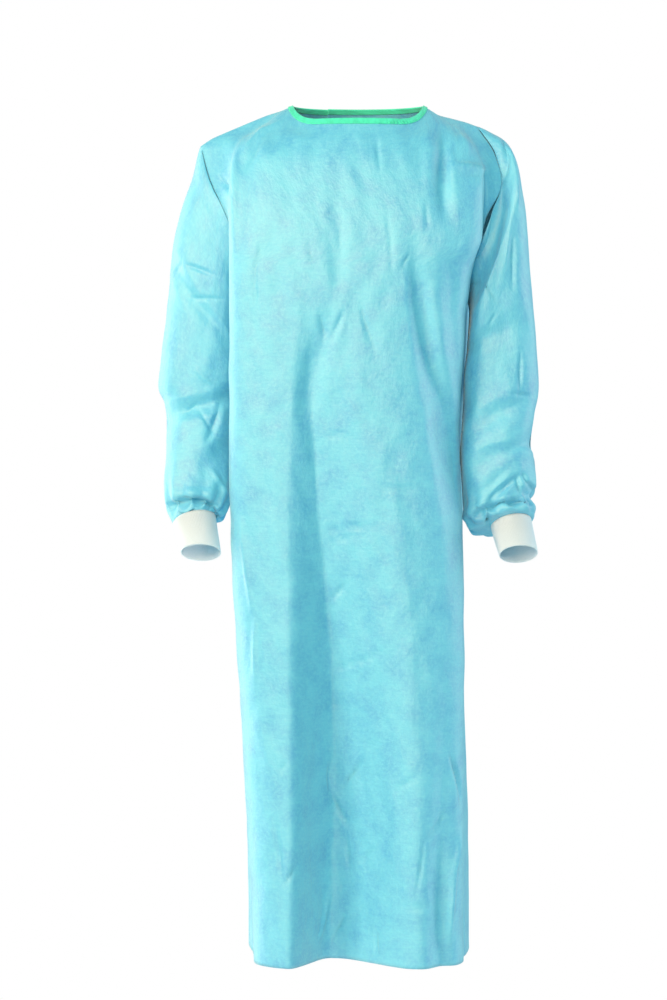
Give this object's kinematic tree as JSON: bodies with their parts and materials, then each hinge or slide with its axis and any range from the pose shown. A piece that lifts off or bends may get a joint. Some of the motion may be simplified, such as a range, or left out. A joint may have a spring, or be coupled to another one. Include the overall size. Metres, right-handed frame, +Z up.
{
  "type": "surgical gown",
  "caption": "Long-sleeved calf-length surgical gown in hollow worn form, lapping over at the back, with knitted cuffs and a bound round neck.",
  "frame": {"origin": "midway between the two side points of the neck edge, where the wearer's shoulders carry the gown", "axes": "+Z up, along the gown's length; +Y towards the gown's back, front to back; +X towards the wearer's left, across the gown"},
  "size_m": [0.5746, 0.287, 1.2805],
  "materials": {
    "gown_cloth": "soft nonwoven with a slight sheen",
    "cuff_knit": "fine ribbed knit, matte",
    "binding_tape": "folded tape, matte"
  },
  "bodies": {
    "root": {"front": "gown_cloth", "back_right": "gown_cloth", "back_left": "gown_cloth", "sleeve_right": "gown_cloth", "sleeve_left": "gown_cloth", "cuff_right": "cuff_knit", "cuff_left": "cuff_knit", "neck_binding": "binding_tape"}
  },
  "joints": []
}
